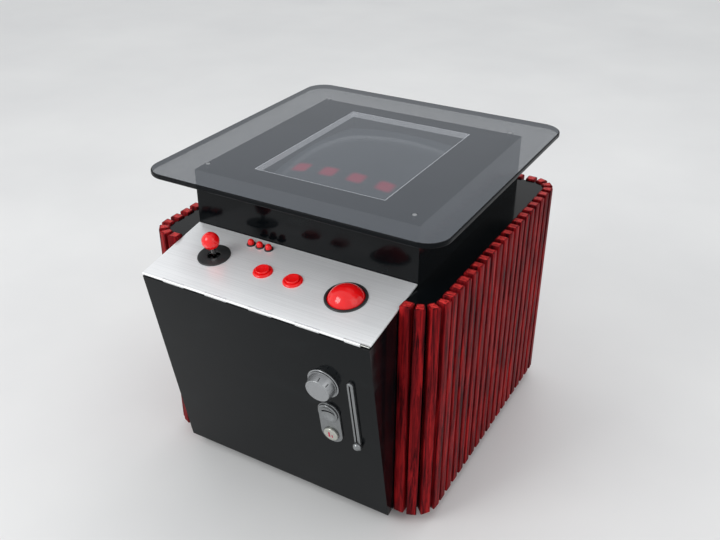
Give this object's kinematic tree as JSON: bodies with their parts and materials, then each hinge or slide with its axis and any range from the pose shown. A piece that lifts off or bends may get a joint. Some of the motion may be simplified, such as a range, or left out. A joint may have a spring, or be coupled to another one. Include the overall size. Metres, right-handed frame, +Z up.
{
  "type": "cocktail table cabinet",
  "caption": "Low square games table: slatted hardwood body, screen under a glass top, and a leaning control housing with stick, trackball, buttons and a locking coin door.",
  "frame": {"origin": "on the floor, at the centre of the whole footprint, control housing included", "axes": "+Z up, -Y towards the player's side with the controls, +X to the right of a player who faces the controls"},
  "size_m": [0.6492, 0.7546, 0.647],
  "materials": {
    "red_hardwood": "oiled, strongly figured",
    "black_laminate": "black satin laminate on board",
    "brushed_plate": "fine brushed",
    "chrome": "polished",
    "zinc_casting": "satin",
    "black_plastic": "satin moulded",
    "red_gloss": "gloss",
    "tinted_glass": "polished, lightly tinted",
    "tube_glass": "smooth, dark coated",
    "white_trim": "satin",
    "black_steel": "black powder coat",
    "zinc_steel": "zinc plated",
    "green_board": "lacquered circuit board",
    "copper_winding": "enamelled copper"
  },
  "bodies": {
    "cabinet": {"base_board": "black_laminate", "plinth_frame": "black_laminate", "carcass_side_panels": "black_laminate", "carcass_back_panel": "black_laminate", "carcass_corner_posts": "black_laminate", "slats_left": "red_hardwood", "slats_right": "red_hardwood", "slats_back": "red_hardwood", "slats_corners": "red_hardwood", "top_shelf": "black_laminate", "monitor_box_walls": "black_laminate", "monitor_box_lid": "black_laminate", "window_trim": "white_trim", "screen_bezel": "black_plastic", "crt_tube": "tube_glass", "deflection_yoke": "copper_winding", "monitor_frame": "black_steel", "monitor_board": "green_board", "table_glass": "tinted_glass", "glass_bolts": "chrome", "game_board": "green_board", "power_supply": "zinc_casting", "speaker": "black_steel", "cord_gland": "black_plastic", "housing_cheeks": "black_laminate", "housing_rails": "black_laminate", "coin_box": "zinc_steel", "hinge_leaves_fixed": "zinc_steel", "hinge_pins": "zinc_steel"},
    "control_panel": {"control_plate": "brushed_plate", "joystick_escutcheon": "black_plastic", "joystick_frame": "black_steel", "control_switches": "black_plastic", "button_barrels": "black_plastic", "trackball_ring": "black_plastic", "trackball_housing": "black_plastic"},
    "stick_gimbal": {"gimbal_ring": "zinc_steel"},
    "stick": {"joystick_shaft": "chrome", "joystick_ball": "red_gloss", "joystick_dome": "black_plastic"},
    "action_left": {"action_button_left": "red_gloss"},
    "action_right": {"action_button_right": "red_gloss"},
    "start_left": {"small_button_left": "red_gloss"},
    "start_middle": {"small_button_middle": "red_gloss"},
    "start_right": {"small_button_right": "red_gloss"},
    "ball_core": {"trackball_core": "black_plastic"},
    "ball": {"trackball_ball": "red_gloss"},
    "roller_across": {"trackball_roller_across": "zinc_steel"},
    "roller_along": {"trackball_roller_along": "zinc_steel"},
    "door": {"door_panel": "black_laminate", "door_hinge_leaf": "zinc_steel", "lock_flange": "chrome", "coin_escutcheon": "chrome", "coin_entry_cup": "chrome", "coin_slide_guide": "chrome", "coin_mechanism": "zinc_casting"},
    "lock": {"lock_knob": "chrome", "lock_cam": "zinc_steel"},
    "reject": {"reject_button": "chrome"},
    "coin_slide": {"coin_slide_knob": "chrome"}
  },
  "joints": [
    {"name": "panel_lift", "type": "hinge", "parent": "cabinet", "child": "control_panel", "pos_m": [0, -0.3706, 0.48698], "axis": [1, 0, 0], "range_deg": [0, 75]},
    {"name": "stick_fore_aft", "type": "hinge", "parent": "control_panel", "child": "stick_gimbal", "pos_m": [-0.151, -0.26977, 0.47718], "axis": [1, 0, 0], "range_deg": [-9, 9], "stiffness_Nm_per_rad": 0.8},
    {"name": "stick_left_right", "type": "hinge", "parent": "stick_gimbal", "child": "stick", "pos_m": [-0.151, -0.26977, 0.47718], "axis": [0, 0.9842, 0.1771], "range_deg": [-9, 9], "stiffness_Nm_per_rad": 0.8},
    {"name": "action_left_press", "type": "slide", "parent": "control_panel", "child": "action_left", "axis": [0, 0.1771, -0.9842], "range_m": [0, 0.003], "stiffness_N_per_m": 500, "springref_m": -0.001},
    {"name": "action_right_press", "type": "slide", "parent": "control_panel", "child": "action_right", "axis": [0, 0.1771, -0.9842], "range_m": [0, 0.003], "stiffness_N_per_m": 500, "springref_m": -0.001},
    {"name": "start_left_press", "type": "slide", "parent": "control_panel", "child": "start_left", "axis": [0, 0.1771, -0.9842], "range_m": [0, 0.002], "stiffness_N_per_m": 500, "springref_m": -0.001},
    {"name": "start_middle_press", "type": "slide", "parent": "control_panel", "child": "start_middle", "axis": [0, 0.1771, -0.9842], "range_m": [0, 0.002], "stiffness_N_per_m": 500, "springref_m": -0.001},
    {"name": "start_right_press", "type": "slide", "parent": "control_panel", "child": "start_right", "axis": [0, 0.1771, -0.9842], "range_m": [0, 0.002], "stiffness_N_per_m": 500, "springref_m": -0.001},
    {"name": "ball_roll_fore_aft", "type": "hinge", "parent": "control_panel", "child": "ball_core", "pos_m": [0.1495, -0.27636, 0.49124], "axis": [1, 0, 0], "continuous": true},
    {"name": "ball_roll_sideways", "type": "hinge", "parent": "ball_core", "child": "ball", "pos_m": [0.1495, -0.27636, 0.49124], "axis": [0, 0.9842, 0.1771], "continuous": true},
    {"name": "roller_across_spin", "type": "hinge", "parent": "control_panel", "child": "roller_across", "pos_m": [0.1495, -0.24093, 0.46661], "axis": [1, 0, 0], "continuous": true},
    {"name": "roller_along_spin", "type": "hinge", "parent": "control_panel", "child": "roller_along", "pos_m": [0.18001, -0.27096, 0.46121], "axis": [0, 0.9842, 0.1771], "continuous": true},
    {"name": "door_drop", "type": "hinge", "parent": "cabinet", "child": "door", "pos_m": [0, -0.27252, 0.03166], "axis": [1, 0, 0], "range_deg": [0, 75]},
    {"name": "lock_turn", "type": "hinge", "parent": "door", "child": "lock", "pos_m": [0.143, -0.3503, 0.36007], "axis": [0, 0.9842, 0.1771], "range_deg": [0, 90]},
    {"name": "reject_press", "type": "slide", "parent": "door", "child": "reject", "axis": [0, 0.9842, 0.1771], "range_m": [0, 0.004], "stiffness_N_per_m": 600, "springref_m": -0.002},
    {"name": "coin_slide_lift", "type": "slide", "parent": "door", "child": "coin_slide", "axis": [0, -0.1771, 0.9842], "range_m": [0, 0.15]}
  ],
  "couplings": [
    {"joint": "roller_across_spin", "follows": "ball_roll_fore_aft", "ratio": -8.0211},
    {"joint": "roller_along_spin", "follows": "ball_roll_sideways", "ratio": -8.0211}
  ]
}
